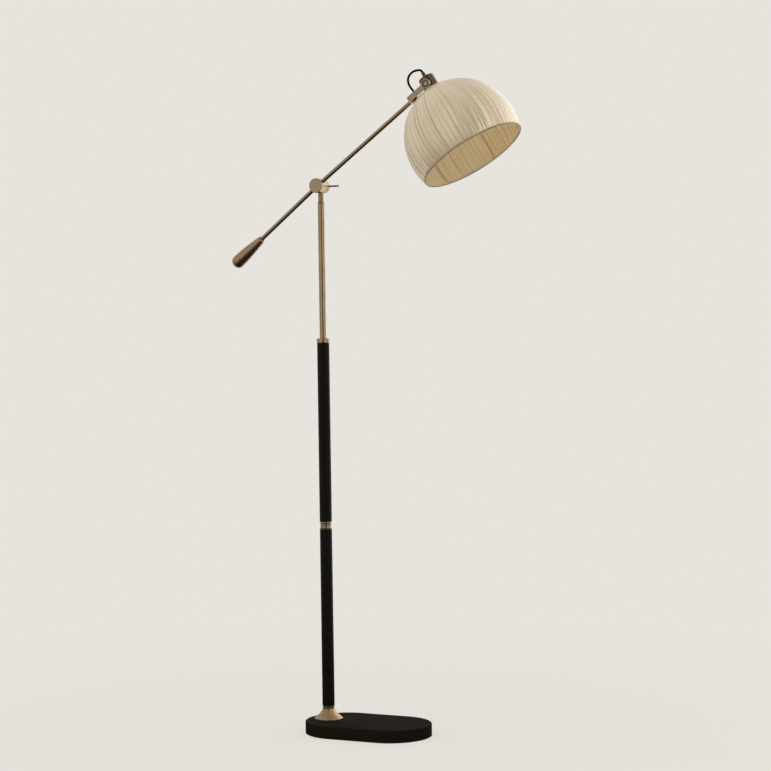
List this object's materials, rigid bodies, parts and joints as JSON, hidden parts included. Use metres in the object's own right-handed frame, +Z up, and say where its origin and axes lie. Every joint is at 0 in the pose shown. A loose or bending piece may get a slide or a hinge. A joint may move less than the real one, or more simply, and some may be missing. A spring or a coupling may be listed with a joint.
{
  "type": "bridge floor lamp",
  "caption": "Floor lamp with an oblong weighted base, a black pole, a counterweighted arm on a lever clamp and a pleated dome shade on a tilting yoke.",
  "frame": {"origin": "on the floor, on the pole's axis", "axes": "+Z up along the pole; +X along the base's long axis, towards the side that the shade hangs over; +Y to the rear, away from the arm"},
  "size_m": [0.7883, 0.2846, 1.654],
  "materials": {
    "pad_rubber": "matt",
    "ballast_iron": "rough cast",
    "base_black": "satin black paint with a dark bronze cast",
    "pole_black": "satin black paint",
    "antique_brass": "brushed antique brass under clear lacquer",
    "tube_brass": "drawn tube in antique brass under clear lacquer",
    "weight_brass": "turned and brushed antique brass",
    "lever_brass": "polished antique brass",
    "zinc_steel": "zinc plated",
    "dark_washer": "fibre",
    "black_plastic": "moulded",
    "lead_black": "smooth flexible sheath",
    "socket_brass": "bright pressed brass",
    "shade_white_metal": "cream paint",
    "pleated_fabric": "fine hand-folded pleats in cream cloth",
    "trim_fabric": "woven binding"
  },
  "bodies": {
    "base": {"base_pad": "pad_rubber", "base_ballast": "ballast_iron", "base_cover": "base_black", "cord_inlet": "black_plastic", "foot_stud": "zinc_steel", "foot_washer": "zinc_steel", "foot_nut": "zinc_steel", "bell_foot": "antique_brass", "foot_collar": "antique_brass", "lower_pole": "pole_black", "pole_plugs": "zinc_steel", "mid_ring": "antique_brass", "mid_stud": "zinc_steel", "upper_pole": "pole_black", "tube_bush": "zinc_steel", "top_collar": "antique_brass", "upper_tube": "tube_brass", "swivel_sleeve": "antique_brass"},
    "mast_head": {"neck_hub": "antique_brass", "swivel_clip": "zinc_steel", "friction_washers": "dark_washer"},
    "clamp": {"clamp_nut": "antique_brass", "clamp_lever": "lever_brass", "lever_tip": "lever_brass"},
    "arm": {"arm_drum": "antique_brass", "clamp_bolt": "zinc_steel", "arm_tube": "tube_brass", "tail_rod": "tube_brass", "counterweight": "weight_brass", "weight_screw": "zinc_steel", "yoke": "antique_brass", "yoke_nut": "zinc_steel", "yoke_grommet": "black_plastic", "head_lead": "lead_black"},
    "head": {"holder_cup": "antique_brass", "cup_bush": "antique_brass", "pivot_spacers": "dark_washer", "pivot_knobs": "antique_brass", "pivot_nuts": "zinc_steel", "holder_cap": "black_plastic", "holder_skirt": "black_plastic", "socket_shell": "socket_brass", "centre_contact": "socket_brass", "shade_ring": "black_plastic", "shade_crown": "shade_white_metal", "shade_frame": "shade_white_metal", "shade_cover": "pleated_fabric", "shade_hem": "trim_fabric"}
  },
  "joints": [
    {"name": "mast_swivel", "type": "hinge", "parent": "base", "child": "mast_head", "pos_m": [0, 0, 1.337], "axis": [0, 0, 1], "range_deg": [-170, 170]},
    {"name": "arm_tilt", "type": "hinge", "parent": "mast_head", "child": "arm", "pos_m": [0, -0.018, 1.3815], "axis": [0, 1, 0], "range_deg": [-40, 55]},
    {"name": "clamp_turn", "type": "hinge", "parent": "mast_head", "child": "clamp", "pos_m": [0, 0.01495, 1.3815], "axis": [0, 1, 0], "range_deg": [0, 120]},
    {"name": "head_tilt", "type": "hinge", "parent": "arm", "child": "head", "pos_m": [0.31391, -0.018, 1.61293], "axis": [0, 1, 0], "range_deg": [-50, 4], "deforming": ["head_lead"]}
  ]
}
